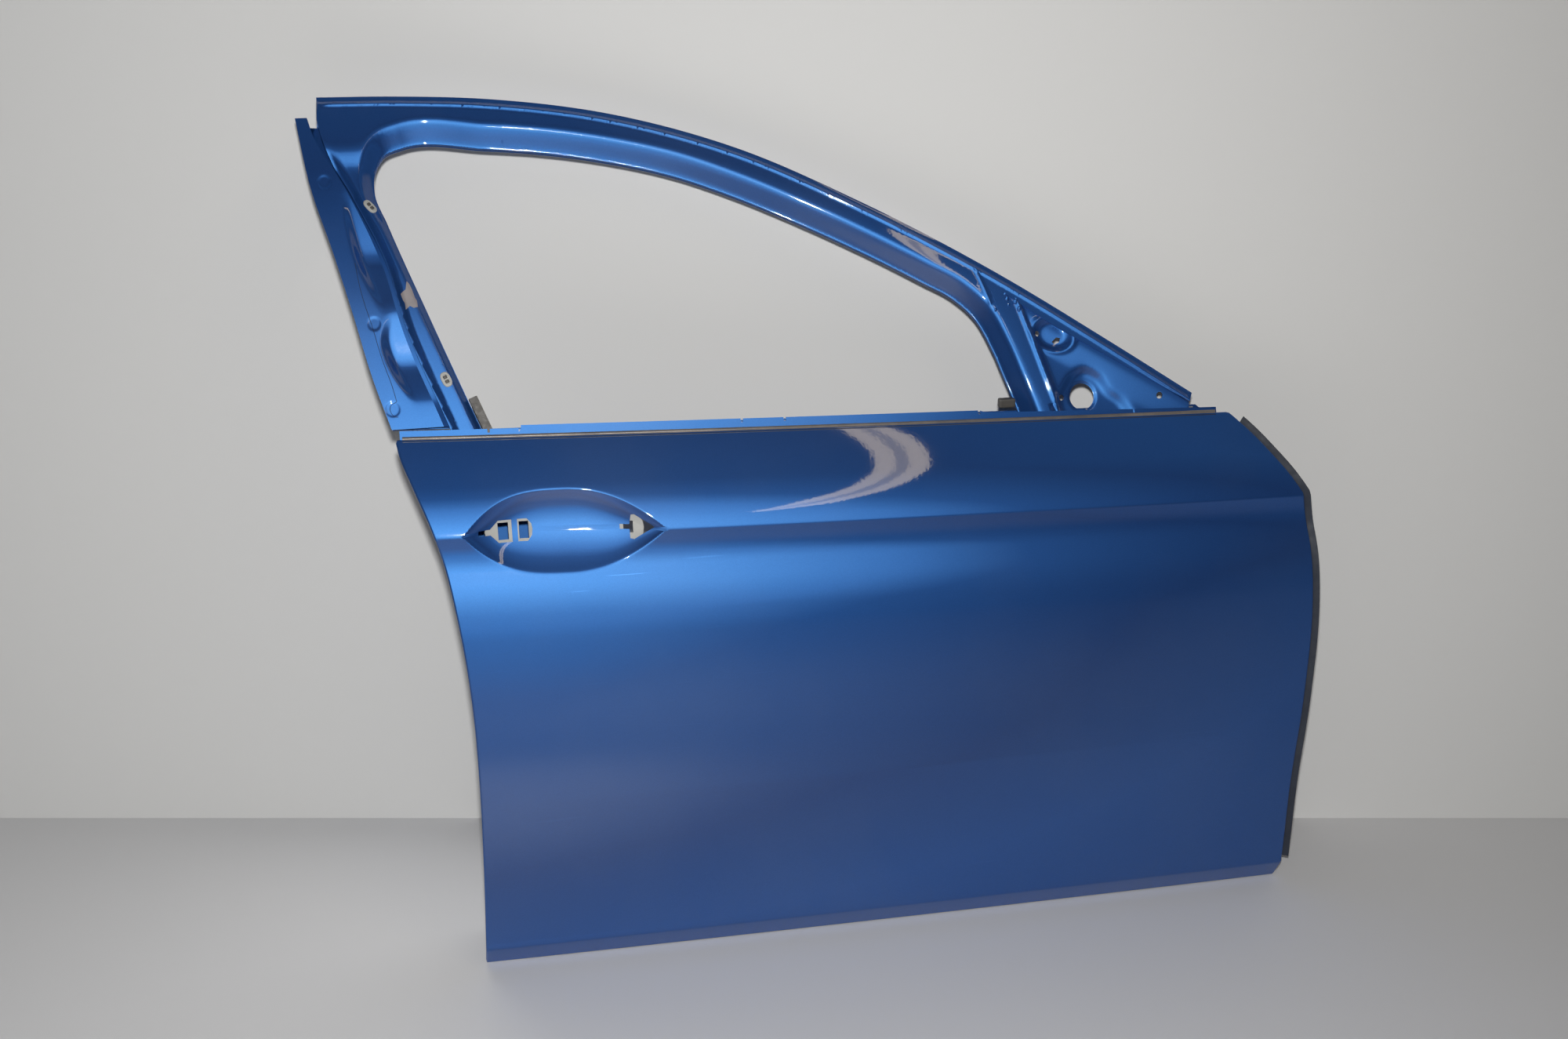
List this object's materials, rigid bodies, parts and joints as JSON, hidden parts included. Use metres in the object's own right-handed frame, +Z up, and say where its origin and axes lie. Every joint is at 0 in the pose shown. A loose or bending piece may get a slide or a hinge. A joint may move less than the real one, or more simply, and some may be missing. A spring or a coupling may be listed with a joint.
{
  "type": "car front door shell",
  "caption": "Bare right-hand front door of a saloon car: creased skin with a handle recess, open window frame, mirror corner and inner panel.",
  "frame": {"origin": "outer face of the hinge wall, at the middle of the upper hinge, between its two bolt holes", "axes": "+X to the front of the car, +Z up, +Y inboard; the outer skin looks along -Y"},
  "size_m": [1.3054, 0.365, 1.096],
  "materials": {
    "blue_paint": "metallic blue paint under clear coat, on pressed aluminium",
    "bare_aluminium": "mill finish, dull",
    "black_rubber": "matt black",
    "grey_plastic": "moulded, satin",
    "dark_plastic": "moulded, satin",
    "foam_pad": "dull grey damping sheet"
  },
  "bodies": {
    "root": {"outer_skin": "blue_paint", "inner_panel": "blue_paint", "frame_outer": "blue_paint", "frame_inner": "blue_paint", "b_pillar_plate": "blue_paint", "sail_panel": "blue_paint", "mirror_reinforcement": "bare_aluminium", "outer_belt_reinforcement": "blue_paint", "inner_belt_reinforcement": "bare_aluminium", "impact_beam": "bare_aluminium", "beam_bracket_front": "bare_aluminium", "beam_bracket_rear": "bare_aluminium", "upper_hinge_reinforcement": "bare_aluminium", "lower_hinge_reinforcement": "bare_aluminium", "check_strap_reinforcement": "bare_aluminium", "lock_reinforcement": "bare_aluminium", "handle_carrier": "grey_plastic", "rear_guide_channel": "dark_plastic", "front_guide_channel": "dark_plastic", "front_guide_foot": "dark_plastic", "upper_frame_clip": "grey_plastic", "lower_frame_clip": "grey_plastic", "front_gap_seal": "black_rubber", "upper_damping_pad": "foam_pad", "lower_damping_pad": "foam_pad", "mastic_bead_1": "black_rubber", "mastic_bead_2": "black_rubber", "mastic_bead_3": "black_rubber", "access_plug_1": "black_rubber", "access_plug_2": "black_rubber", "access_plug_3": "black_rubber", "rear_frame_bracket": "bare_aluminium", "front_frame_bracket": "bare_aluminium"}
  },
  "joints": []
}
